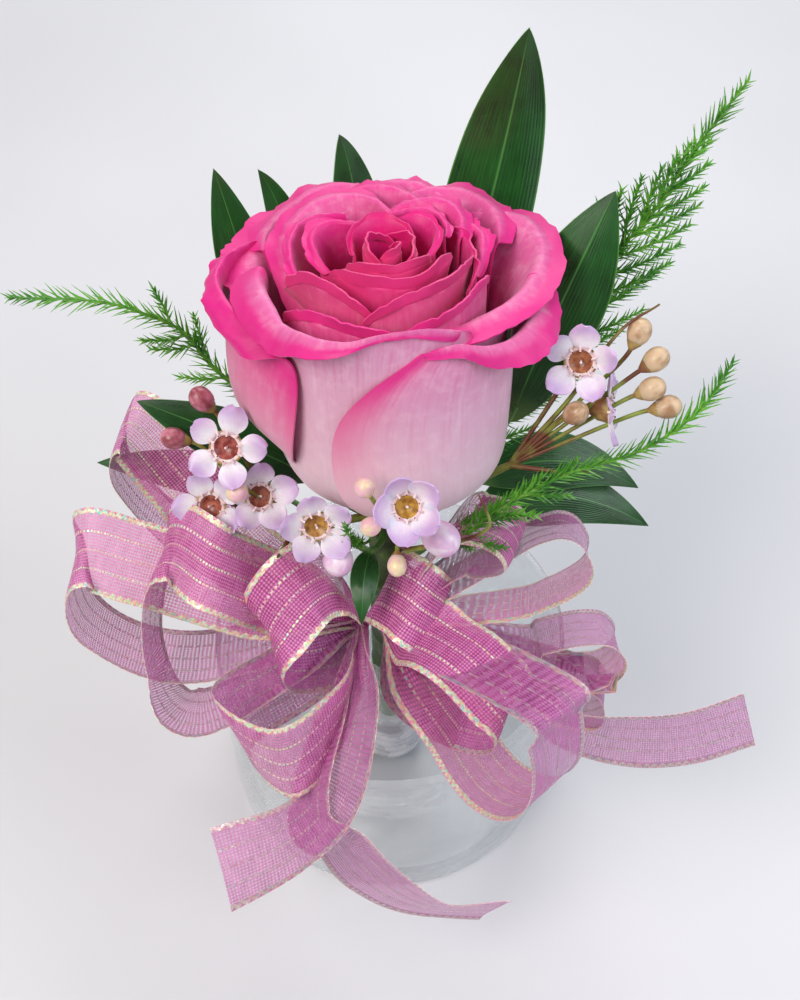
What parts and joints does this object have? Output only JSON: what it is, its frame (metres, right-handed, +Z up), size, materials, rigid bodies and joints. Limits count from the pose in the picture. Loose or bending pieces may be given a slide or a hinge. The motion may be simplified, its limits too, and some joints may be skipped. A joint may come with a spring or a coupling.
{
  "type": "rose corsage",
  "caption": "Pink rose corsage with leaves, asparagus fern, wax flowers and an organza ribbon bow, its taped stem standing in a low clear glass cup.",
  "frame": {"origin": "middle of the cup's flat underside, on the surface that it stands on", "axes": "+Z up, out of the cup's mouth; +X to the right and +Y away, seen from the bow's side"},
  "size_m": [0.14, 0.1179, 0.1551],
  "materials": {
    "clear_glass": "polished clear glass",
    "clear_plastic": "clear tube with a milky solid foot",
    "floral_tape": "matt green waxed floral tape",
    "rose_petal": "velvety petals, hot pink at the rims and pale on their outer faces",
    "leaf": "waxy dark green leaf",
    "fern": "soft bright green needles",
    "wax_flower": "lilac white petals, pink and cream buds",
    "coated_wire": "green coated florist's wire",
    "organza": "sheer pink organza with woven metallic stripes"
  },
  "bodies": {
    "root": {"glass_cup": "clear_glass", "centre_tube": "clear_plastic", "taped_stem": "floral_tape", "rose_bloom": "rose_petal", "leaf_back_tall": "leaf", "leaf_right": "leaf", "leaf_back_mid": "leaf", "leaf_back_left_inner": "leaf", "leaf_back_left_outer": "leaf", "leaf_left": "leaf", "leaf_far_left": "leaf", "leaf_front": "leaf", "leaf_low_right_upper": "leaf", "leaf_low_right_lower": "leaf", "fern_right_high": "fern", "fern_right_low": "fern", "fern_left": "fern", "fern_front": "fern", "wax_spray_left": "wax_flower", "wax_spray_front": "wax_flower", "wax_spray_right": "wax_flower", "tie_wire": "coated_wire", "ribbon_bow": "organza"}
  },
  "joints": []
}
